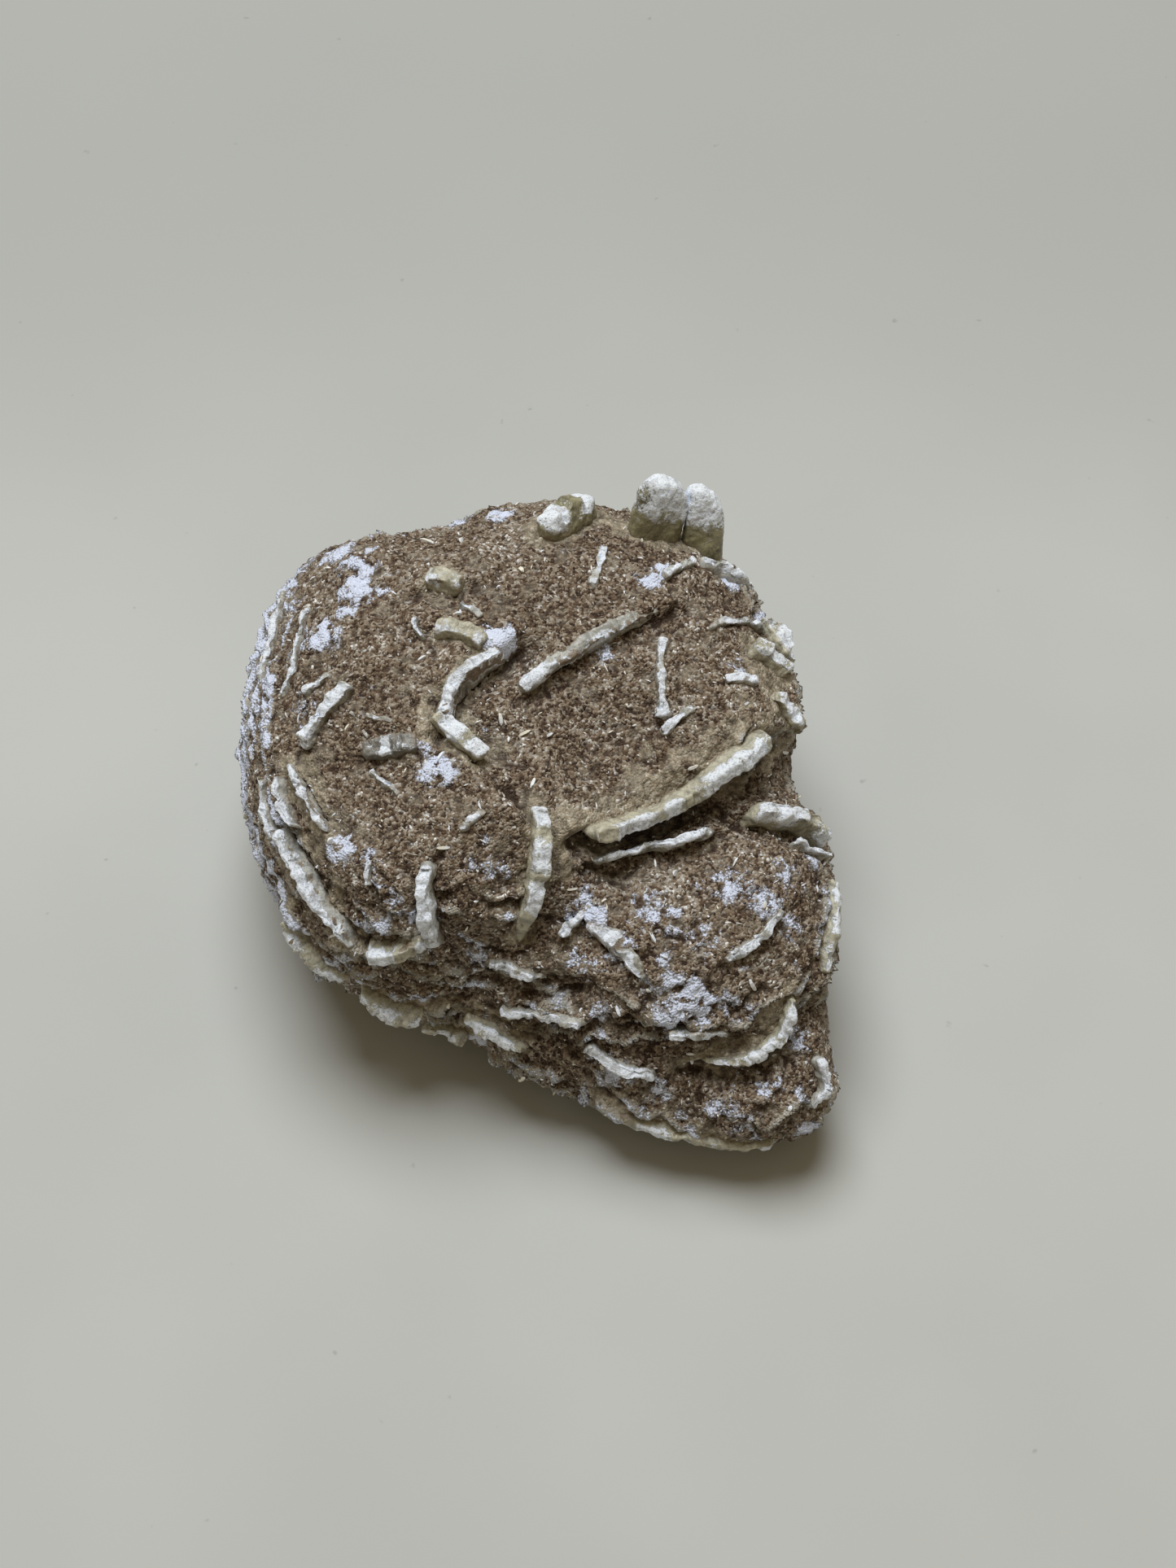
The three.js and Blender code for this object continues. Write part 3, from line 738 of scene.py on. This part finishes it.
def near_crystal(node, places, reach):
    """The points within reach of a crystal: which they are, how far off, and which way they lie from it."""
    mesh = frame["nodes"][node].data
    crystal = points_of(mesh)
    low, high = crystal.min(0) - reach, crystal.max(0) + reach
    near = np.flatnonzero(np.all((places > low) & (places < high), axis=1))
    far, spots, facings = distances(tree_of(crystal, faces_of(mesh)), places[near])
    ways = (places[near] - spots) / np.maximum(far, 0.05)[:, None]
    outside = np.einsum("ij,ij->i", ways, facings) > 0
    return near, far, np.where(outside[:, None], ways, -ways)


def stepped(places):
    """How far each point rises on the high side of the crystals with a low side, and drops on the low."""
    drop, rise = np.zeros(len(places)), np.zeros(len(places))
    for node, (way, depth, reach) in FALLS.items():
        near, far, ways = near_crystal(node, places, reach * 2.6)
        side = step_up(-0.1, 0.6, ways @ (np.array(way) / np.linalg.norm(way)))
        drop[near] = np.maximum(drop[near], depth * side * np.exp(-((far / reach) ** 2)))
        rise[near] = np.maximum(rise[near], 0.35 * depth * (1 - side) * np.exp(-((far / (1.2 * reach)) ** 2)))
    for start, end, way, depth, reach in WALLS:
        start, run = np.array(start), np.subtract(end, start)
        share = np.clip((places - start) @ run / (run @ run), 0, 1)
        off = places - start - share[:, None] * run
        side = step_up(-0.5, 0.5, off @ np.array(way))
        near = np.exp(-((np.linalg.norm(off, axis=1) / reach) ** 2))
        drop = np.maximum(drop, depth * side * near)
        rise = np.maximum(rise, 0.5 * depth * (1 - side) * near)
    return rise - drop


def clear_skin(places, noise):
    """Where clear gypsum lies over the sand, from 0 to 1."""
    clear = np.zeros(len(places))
    for node, reach in CLEAR_ROUND.items():
        near, far, _ = near_crystal(node, places, reach * 1.8)
        ragged = far + 0.8 * reach * noise(places[near] / 2.4)
        clear[near] = np.maximum(clear[near], step_up(reach, 0.2 * reach, ragged))
    return clear


def shelf_set(places, depth, length, bend, scallop, noise, other):
    """One set of shelves: how far up its slope each point is, from 0 to 1, and how whole its shelf is."""
    down = 0.55 * np.hypot(places[:, 0], places[:, 1]) - 0.85 * places[:, 2]
    warp = bend * noise(places / 9.0) + scallop * np.abs(other(places / 5.0)) + 0.3 * noise(places / 1.3)
    count = (down + warp) / depth
    shelf = np.floor(count)
    run = np.column_stack([places[:, 0], places[:, 1], shelf * 23.0]) / length
    return count - shelf, step_up(-0.2, 0.3, noise(run))


def shelves(places, normals, noise, other, sizes):
    """Stacked shelves, like overlapping scales: how far each point stands out, and how near an edge it is."""
    depth, length = sizes.shelf_depth / MM, sizes.shelf_length / MM
    left = step_up(-17, -22, places[:, 0]) * step_up(-16, -10, places[:, 1])
    rise, whole = shelf_set(places, depth, length, 1.8, 2.6, noise, other)
    fine_rise, fine_whole = shelf_set(places, 0.55 * depth, 1.6 * length, 1.2, 0.8, noise, other)
    flank = step_up(0.14, 0.5, 1 - normals[:, 2]) * step_up(-0.95, -0.5, normals[:, 2])
    front = 0.5 * step_up(-12, -19, places[:, 1])
    where = np.maximum(flank, front)
    broad = where * (1 - left) * (0.1 + 0.9 * whole)
    fine = where * left * (0.25 + 0.75 * fine_whole)
    out = (rise**2 - 0.33) * broad + 0.65 * (fine_rise**2 - 0.33) * fine
    return out, step_up(0.6, 0.92, rise) * broad + step_up(0.5, 0.85, fine_rise) * fine


def on_rims(places, normals, noise):
    """How near each point is to the top of a thin rim, from 0 to 1."""
    bearing = np.degrees(np.arctan2(places[:, 1], places[:, 0])) % 360
    steep = np.sqrt(np.clip(1 - normals[:, 2] ** 2, 0.04, 1))
    height = places[:, 2] + 0.6 * noise(places / 2.4)
    near_top = np.zeros(len(places))
    for (first, last), heights, rims, gap, width, scallops, sag in RIM_NESTS:
        share = (bearing - first) / (last - first)
        ends = step_up(0.0, 0.08, share) * step_up(1.0, 0.92, share)
        for rim in range(rims):
            line = np.interp(share, (0, 1), heights) - gap * rim
            line -= sag * np.abs(np.sin(math.pi * (scallops * share + 0.5 * rim)))
            far = np.abs(height - line) / steep
            near_top = np.maximum(near_top, ends * np.exp(-((far / (0.6 * width)) ** 2)))
    return near_top * np.clip(0.8 + 0.7 * noise(places / 1.9 + 5), 0, 1)


def dusting(places, noise):
    """How thickly white powder lies at each point; 1 covers the stone."""
    dust = np.zeros(len(places))
    for centre, width, thick in DUST:
        reach = np.linalg.norm(places - centre, axis=1) / width
        dust = np.maximum(dust, thick * np.exp(-(reach**2)))
    return np.clip(dust * (1.0 + 1.1 * noise.rough(places / 1.6, 3)), 0, 1.2)


def weathered(skin, web, far, sizes, seed):
    """Adds steps, banks, shelves, rims, grit and powder, and keeps the masks for the material."""
    noise, other = Noise(seed), Noise(seed + 1)
    places, normals = points_of(skin), normals_of(skin)
    low = 1 - 0.8 * step_up(2.5, 0.4, places[:, 2])
    lumps = noise(places * MM / sizes.lump_length) + 0.5 * other(places * MM / sizes.lump_length * 2.1)
    bank = np.exp(-((far * MM / sizes.bank_width) ** 2)) * (0.8 + 0.5 * other(places / 1.7))
    lift = (sizes.lump_height * lumps + sizes.bank_height * bank) / MM + stepped(places)
    for centre, width, depth in PITS:
        lift -= depth * np.exp(-((np.linalg.norm(places - centre, axis=1) / width) ** 2))
    places = web.relax(places + normals * (lift * low)[:, None], 2)
    move_points(skin, places)
    clear = clear_skin(places, other)

    edges, lip = shelves(places, normals, noise, other, sizes)
    rims = on_rims(places, normals, noise)
    lip = np.maximum(lip * (1 - 0.5 * rims), 1.2 * rims)
    normals = normals_of(skin)
    left = step_up(-18, -25, places[:, 0])
    outer = np.maximum(step_up(-10, -18, places[:, 1]), left)
    frosting = step_up(0.0, 0.7, noise(places / 3.4 + 9) + 0.5 * other.rough(places / 1.4, 2))
    powder = dusting(places, noise)
    dust = np.maximum(powder, frosting * (0.2 + 0.3 * outer) + lip * (0.25 + 0.35 * left))
    dust = np.maximum(dust, rims * (0.45 + 0.45 * left))
    grit = noise.rough(places * MM / sizes.grit_length, 3) * (1 - 0.25 * clear)
    lift = (
        sizes.shelf_height * edges
        + sizes.rim_height * rims
        + sizes.grit_height * grit
        + sizes.dust_height * step_up(0.35, 0.8, powder) * (0.75 + 0.7 * other(places / 0.6))
    ) / MM
    places = places + normals * (lift * low)[:, None]
    places[:, 2] = np.maximum(places[:, 2], 0)
    move_points(skin, places)
    normals = normals_of(skin)
    # The hollow mask is how deep each point lies below its neighbours. The material paints shade into it and
    # thins the powder there.
    hollow = 0.5 * hollowness(web, places, normals, 5, 0.10) + 0.8 * hollowness(web, places, normals, 60, 0.5)
    store(skin, "hollow", np.clip(hollow - 0.1, 0, 1))
    store(skin, "lip", lip)
    store(skin, "dust", dust)
    store(skin, "clear", clear)


def hollowness(web, points, normals, rounds, depth):
    """How deep each point lies below the points around it, as a share of the given depth."""
    smooth = web.relax(points, rounds)
    return np.einsum("ij,ij->i", smooth - points, normals) / depth


class SANDROSE_OT_sandy_mass(bpy.types.Operator):
    """Build the sandy mass with its hollows, stacked rims and powder"""

    bl_idname = "sand_rose.sandy_mass"
    bl_label = "Sandy mass"

    def execute(self, context):
        sizes = settings().sand
        skin, web, far = filled_skin(sizes)
        weathered(skin, web, far, sizes, settings().splinters.seed)
        piece = show("sandy_mass", skin)
        piece.data.materials.append(sandy_material())
        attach(piece, "root")
        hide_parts(SAND)
        return {"FINISHED"}


# --- Crystals -----------------------------------------------------------------------------
def sand_surface():
    """The finished sandy surface's mesh and its tree."""
    mesh = bpy.data.objects["sandy_mass"].data
    return mesh, tree_of(points_of(mesh), faces_of(mesh))


def heights_above(tree, points):
    """How far each point stands out of the sand; below the surface it is negative."""
    far, spots, _ = distances(tree, points)
    outside = np.einsum("ij,ij->i", points - spots, spots - HEART) > 0
    return np.where(outside, far, -far)


def crystal_mesh(node, tree, sizes, noise):
    """A crystal's own skin: wavy, ribbed across, and chipped and stepped along its edge."""
    source = frame["nodes"][node].data
    rough = points_of(source)
    span = (rough.max(0) - rough.min(0)).max()
    step = sizes.fine_step + (sizes.coarse_step - sizes.fine_step) * float(step_up(5, 14, span))
    skin = voxel_skin(node, rough, faces_of(source), step)
    web = Web(skin)
    rounds, rugged, slimmer = SHAPING[SLOTS[node]]
    rugged *= BROKEN.get(node, 1.0)
    places = web.relax(points_of(skin), rounds)
    move_points(skin, places)
    normals = normals_of(skin)
    centre = places.mean(0)
    out = (centre - HEART) / np.linalg.norm(centre - HEART)
    flat = (rough - centre) - np.outer((rough - centre) @ out, out)
    run = np.linalg.svd(flat, full_matrices=False)[2][0]
    side = np.cross(out, run)
    along = (places - centre) @ run
    heights = heights_above(tree, places)
    stands = max(np.percentile(heights[heights > 0], 88), 0.3) if (heights > 0).any() else 0.3
    share = np.clip(heights / stands, 0, 1)
    offset = 31.0 * (sum(map(ord, node)) % 97)

    def draw(pitch, shift=0.0):
        """Noise that runs along the crystal."""
        line = np.full(len(along), offset + shift)
        return noise(np.column_stack([along / pitch, 0.12 * ((places - centre) @ out), line]))

    ribs = draw(sizes.rib_pitch / MM)
    breaks = step_up(0.10, 0.22, draw(1.9, 7.3)) * step_up(0.45, 0.9, share)
    chips = np.clip(noise(places / 0.9 + offset) - 0.05, 0, 1) * step_up(0.3, 0.9, share)
    wander = noise.rough(places / 2.2 + offset, 3)
    lift = sizes.rib_height * ribs + rugged * (sizes.wander * wander - sizes.chip_depth * chips)
    lift = lift / MM + 0.06 * noise.rough(places / 0.45 + offset, 2) - slimmer
    bend = rugged * sizes.wave / MM * np.outer(draw(3.2, 3.1), side)
    crest = rugged * (sizes.wave * draw(2.6, 5.7) * share - sizes.break_depth * breaks) / MM + STAND
    places = places + normals * lift[:, None] + bend + crest[:, None] * out
    places[:, 2] = np.maximum(places[:, 2], 0)
    move_points(skin, places)
    store(skin, "along", along + offset)
    store(skin, "share", np.clip(share + 0.7 * dusting(places, noise), 0, 1.4))
    store(skin, "rise", heights)
    return skin


# For each slot: how often its crystals are smoothed, how rugged they then get and how much slimmer (mm).
SHAPING = {
    "cream_gypsum": (2, 0.8, 0.0),
    "frosted_gypsum": (2, 1.1, 0.08),
    "grey_gypsum": (4, 0.7, 0.0),
    "olive_gypsum": (18, 0.6, -0.15),
}
# Crystals more broken up than the rest of their slot, and by how much.
BROKEN = {
    "point_blade": 1.8,
    "knob_middle": 1.5,
    "knob_lower": 1.5,
    "knob_upper": 1.5,
    "step_crystal": 1.4,
    "small_tooth": 1.9,
}
STAND = 0.27  # millimetres that a weathered crystal stands further out of the sand than its CAD solid


def build_crystals(slot, material):
    """Every crystal of one material slot, each as a piece of its own."""
    sizes = settings().crystals
    noise = Noise(settings().splinters.seed + 2)
    _, tree = sand_surface()
    nodes = [node for node in CRYSTALS if SLOTS[node] == slot]
    if not nodes:
        raise RuntimeError(f"no crystal has the slot {slot}")
    for node in nodes:
        piece = show("crystal_" + node, crystal_mesh(node, tree, sizes, noise))
        piece.data.materials.append(material)
        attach(piece, "root")
        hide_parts(node)


class SANDROSE_OT_cream_blades(bpy.types.Operator):
    """Build the thick cream blades and petals"""

    bl_idname = "sand_rose.cream_blades"
    bl_label = "Cream blades"

    def execute(self, context):
        material = gypsum_material("cream_gypsum", settings().colours.cream, 0.4, 0.38, 3 * MM)
        build_crystals("cream_gypsum", material)
        return {"FINISHED"}


class SANDROSE_OT_frosted_blades(bpy.types.Operator):
    """Build the thin frosted blades"""

    bl_idname = "sand_rose.frosted_blades"
    bl_label = "Frosted blades"

    def execute(self, context):
        material = gypsum_material("frosted_gypsum", settings().colours.frosted, 0.2, 0.25, 2.4 * MM)
        build_crystals("frosted_gypsum", material)
        return {"FINISHED"}


class SANDROSE_OT_grey_bar(bpy.types.Operator):
    """Build the grey translucent bar"""

    bl_idname = "sand_rose.grey_bar"
    bl_label = "Grey bar"

    def execute(self, context):
        material = gypsum_material("grey_gypsum", settings().colours.grey, 0.3, 0.55, 2 * MM)
        build_crystals("grey_gypsum", material)
        return {"FINISHED"}


class SANDROSE_OT_olive_teeth(bpy.types.Operator):
    """Build the clear olive teeth with frosted tips"""

    bl_idname = "sand_rose.olive_teeth"
    bl_label = "Olive teeth"

    def execute(self, context):
        material = gypsum_material("olive_gypsum", settings().colours.olive, 0.4, 0.36, 5 * MM)
        build_crystals("olive_gypsum", material)
        return {"FINISHED"}


# --- Splinters ----------------------------------------------------------------------------
NEEDLE_RINGS = [(-0.5, 0.35), (0.1, 1.0), (0.5, 0.3)]  # place along the splinter, and its width there
SHARD_RINGS = [(-0.5, 0.3), (-0.3, 0.85), (0.05, 1.0), (0.35, 0.8), (0.5, 0.25)]


def splinter_template(rings):
    """Points and faces of a four-sided splinter of length 1 and width 1."""
    corners = [(-0.5, -0.5), (0.5, -0.5), (0.5, 0.5), (-0.5, 0.5)]
    points = [(place, wide * side, wide * up) for place, wide in rings for side, up in corners]
    faces = [(3, 2, 1, 0)]
    for ring in range(len(rings) - 1):
        for corner in range(4):
            here, after = ring * 4 + corner, ring * 4 + (corner + 1) % 4
            faces.append((here, after, after + 4, here + 4))
    last = 4 * (len(rings) - 1)
    faces.append((last, last + 1, last + 2, last + 3))
    return np.array(points), faces


def scatter_splinters(name, rings, count, size, width, noise, draw, crowd):
    """Strews splinters over the sand, lying along a slowly turning grain with one end up."""
    mesh, _ = sand_surface()
    mesh.calc_loop_triangles()
    triangles = np.array([tri.vertices[:] for tri in mesh.loop_triangles])
    places, normals = points_of(mesh), normals_of(mesh)
    corners = places[triangles]
    area = np.linalg.norm(np.cross(corners[:, 1] - corners[:, 0], corners[:, 2] - corners[:, 0]), axis=1)
    middle = corners.mean(1)
    chance = area * crowd(middle, normals[triangles[:, 0]])
    chosen = draw.choice(len(triangles), count, p=chance / chance.sum())
    mix = draw.dirichlet((1, 1, 1), count)
    spots = np.einsum("ij,ijk->ik", mix, corners[chosen])
    out = normals[triangles[chosen, 0]]
    steady = np.cross(out, [0.31, 0.17, 0.94])
    steady /= np.linalg.norm(steady, axis=1, keepdims=True)
    across = np.cross(out, steady)
    turn = noise(spots / 7.0) * 4.0 + draw.normal(0, 0.75, count)
    run = steady * np.cos(turn)[:, None] + across * np.sin(turn)[:, None]
    tilt = draw.normal(0, 0.22, count)[:, None]
    run = run * np.cos(tilt) + out * np.sin(tilt)
    side = np.cross(out, run)
    side /= np.linalg.norm(side, axis=1, keepdims=True)
    up = np.cross(run, side)
    long = size / MM * draw.lognormal(0, 0.42, count)
    wide = width / MM * draw.lognormal(0, 0.25, count)
    tall = wide * draw.uniform(1.0, 2.2, count)
    template, template_faces = splinter_template(rings)
    points = (
        spots[:, None]
        + template[None, :, :1] * (long[:, None] * run)[:, None]
        + template[None, :, 1:2] * (wide[:, None] * side)[:, None]
        + template[None, :, 2:] * (tall[:, None] * up)[:, None]
    ).reshape(-1, 3)
    points[:, 2] = np.maximum(points[:, 2], 0.05)
    step = len(template)
    faces = [tuple(i * step + corner for corner in face) for i in range(count) for face in template_faces]
    built = mesh_from(name, points, faces)
    piece = show(name, built)
    built.polygons.foreach_set("use_smooth", [False] * len(built.polygons))
    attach(piece, "root")
    return piece


class SANDROSE_OT_splinters(bpy.types.Operator):
    """Strew glinting needles and small blades over the sand"""

    bl_idname = "sand_rose.splinters"
    bl_label = "Splinters"

    def execute(self, context):
        sizes = settings().splinters
        draw = np.random.default_rng(sizes.seed)
        noise = Noise(sizes.seed + 3)
        material = splinter_material()
        needles = scatter_splinters(
            "glint_needles", NEEDLE_RINGS,
            sizes.needle_count, sizes.needle_length, sizes.needle_width, noise, draw,
            lambda spots, out: step_up(0.5, 3, spots[:, 2]) * (0.35 + step_up(-0.2, 0.5, noise(spots / 5))),
        )
        needles.data.materials.append(material)
        shards = scatter_splinters(
            "small_blades", SHARD_RINGS,
            sizes.shard_count, sizes.shard_length, sizes.shard_width, noise, draw,
            lambda spots, out: step_up(1, 5, spots[:, 2]) * (0.35 + 0.4 * step_up(0.0, 0.7, 1 - out[:, 2])),
        )
        shards.data.materials.append(material)
        return {"FINISHED"}


# --- Stage --------------------------------------------------------------------------------
LIGHT_PLACE = (-0.06, 0.22, 0.76)  # metres
LIGHT_WIDTH = 0.5  # metres
LIGHT_POWER = 5.95  # watts
LIGHT_SHADE = (0.95, 0.985, 1.0)
ROOM_SHADE = (0.92, 0.765, 0.5, 1)  # the warm light that the room throws back
ROOM_STRENGTH = 0.26


def area_light(name, place, aim, width, power, shade):
    light = bpy.data.lights.new(name, "AREA")
    light.shape = "DISK"
    light.size = width
    light.energy = power
    light.color = shade
    lamp = bpy.data.objects.new(name, light)
    lamp.location = place
    lamp.rotation_euler = (Vector(aim) - Vector(place)).to_track_quat("-Z", "Y").to_euler()
    bpy.context.scene.collection.objects.link(lamp)


class SANDROSE_OT_stage(bpy.types.Operator):
    """Lay the pale floor and set the soft light and the camera"""

    bl_idname = "sand_rose.stage"
    bl_label = "Stage"

    def execute(self, context):
        sizes = settings().stage
        half = sizes.floor_width / MM / 2
        corners = [(-half, -half, 0), (half, -half, 0), (half, half, 0), (-half, half, 0)]
        floor = show("floor", mesh_from("floor", corners, [(0, 1, 2, 3)]))
        floor.data.materials.append(floor_material())
        middle = (0, 0, sizes.height)
        area_light("ceiling_light", LIGHT_PLACE, middle, LIGHT_WIDTH, LIGHT_POWER, LIGHT_SHADE)
        world = bpy.data.worlds.new("soft_room")
        world.use_nodes = True
        background = world.node_tree.nodes["Background"]
        background.inputs["Color"].default_value = ROOM_SHADE
        background.inputs["Strength"].default_value = ROOM_STRENGTH
        context.scene.world = world
        context.scene.view_settings.view_transform = "Standard"
        self.set_camera(context, sizes)
        return {"FINISHED"}

    def set_camera(self, context, sizes):
        lens = bpy.data.cameras.new("camera")
        lens.sensor_fit = "AUTO"
        lens.sensor_width = 36
        lens.lens = sizes.lens
        lens.clip_start = 0.01
        camera = bpy.data.objects.new("camera", lens)
        tilt = sizes.elevation
        right = Vector((1, 0, 0))
        up = Vector((0, math.sin(tilt), math.cos(tilt)))
        back = Vector((0, -math.cos(tilt), math.sin(tilt)))
        aim = Vector((FRAMING["aim"][0] * MM, FRAMING["aim"][1] * MM, sizes.height))
        aim -= right * FRAMING["right"] * MM + up * FRAMING["up"] * MM
        camera.location = aim + back * sizes.distance
        camera.rotation_euler = (math.pi / 2 - tilt, 0, 0)
        context.scene.collection.objects.link(camera)
        context.scene.camera = camera


# Millimetres: the point of the stone that is framed, and how far it lies right of and above the middle.
FRAMING = {"aim": (0.77, -0.04), "right": -4.875, "up": -3.042}


# --- Panel and registration ---------------------------------------------------------------
PIECES = [
    SANDROSE_OT_sandy_mass,
    SANDROSE_OT_cream_blades,
    SANDROSE_OT_frosted_blades,
    SANDROSE_OT_grey_bar,
    SANDROSE_OT_olive_teeth,
    SANDROSE_OT_splinters,
    SANDROSE_OT_stage,
]


class SANDROSE_PT_panel(bpy.types.Panel):
    """Lists the sizes, the colours and the pieces of the sand rose"""

    bl_idname = "SANDROSE_PT_panel"
    bl_label = "Gypsum sand rose"
    bl_space_type = "VIEW_3D"
    bl_region_type = "UI"
    bl_category = "Sand rose"

    def draw(self, context):
        chosen = settings()
        for group in (chosen.sand, chosen.crystals, chosen.splinters, chosen.colours, chosen.stage):
            box = self.layout.box()
            for key in group.__annotations__:
                box.prop(group, key)
        for piece in PIECES:
            self.layout.operator(piece.bl_idname)


GROUPS = [SandSizes, CrystalSizes, SplinterSizes, StoneColours, StageSizes, SandRoseSettings]
CLASSES = [*GROUPS, *PIECES, SANDROSE_PT_panel]


def register():
    for one in CLASSES:
        bpy.utils.register_class(one)
    bpy.types.Scene.sand_rose = PointerProperty(type=SandRoseSettings)


def unregister():
    del bpy.types.Scene.sand_rose
    for one in reversed(CLASSES):
        bpy.utils.unregister_class(one)


def main():
    register()
    bpy.ops.sand_rose.sandy_mass()
    bpy.ops.sand_rose.cream_blades()
    bpy.ops.sand_rose.frosted_blades()
    bpy.ops.sand_rose.grey_bar()
    bpy.ops.sand_rose.olive_teeth()
    bpy.ops.sand_rose.splinters()
    bpy.ops.sand_rose.stage()


if __name__ == "__main__":
    main()
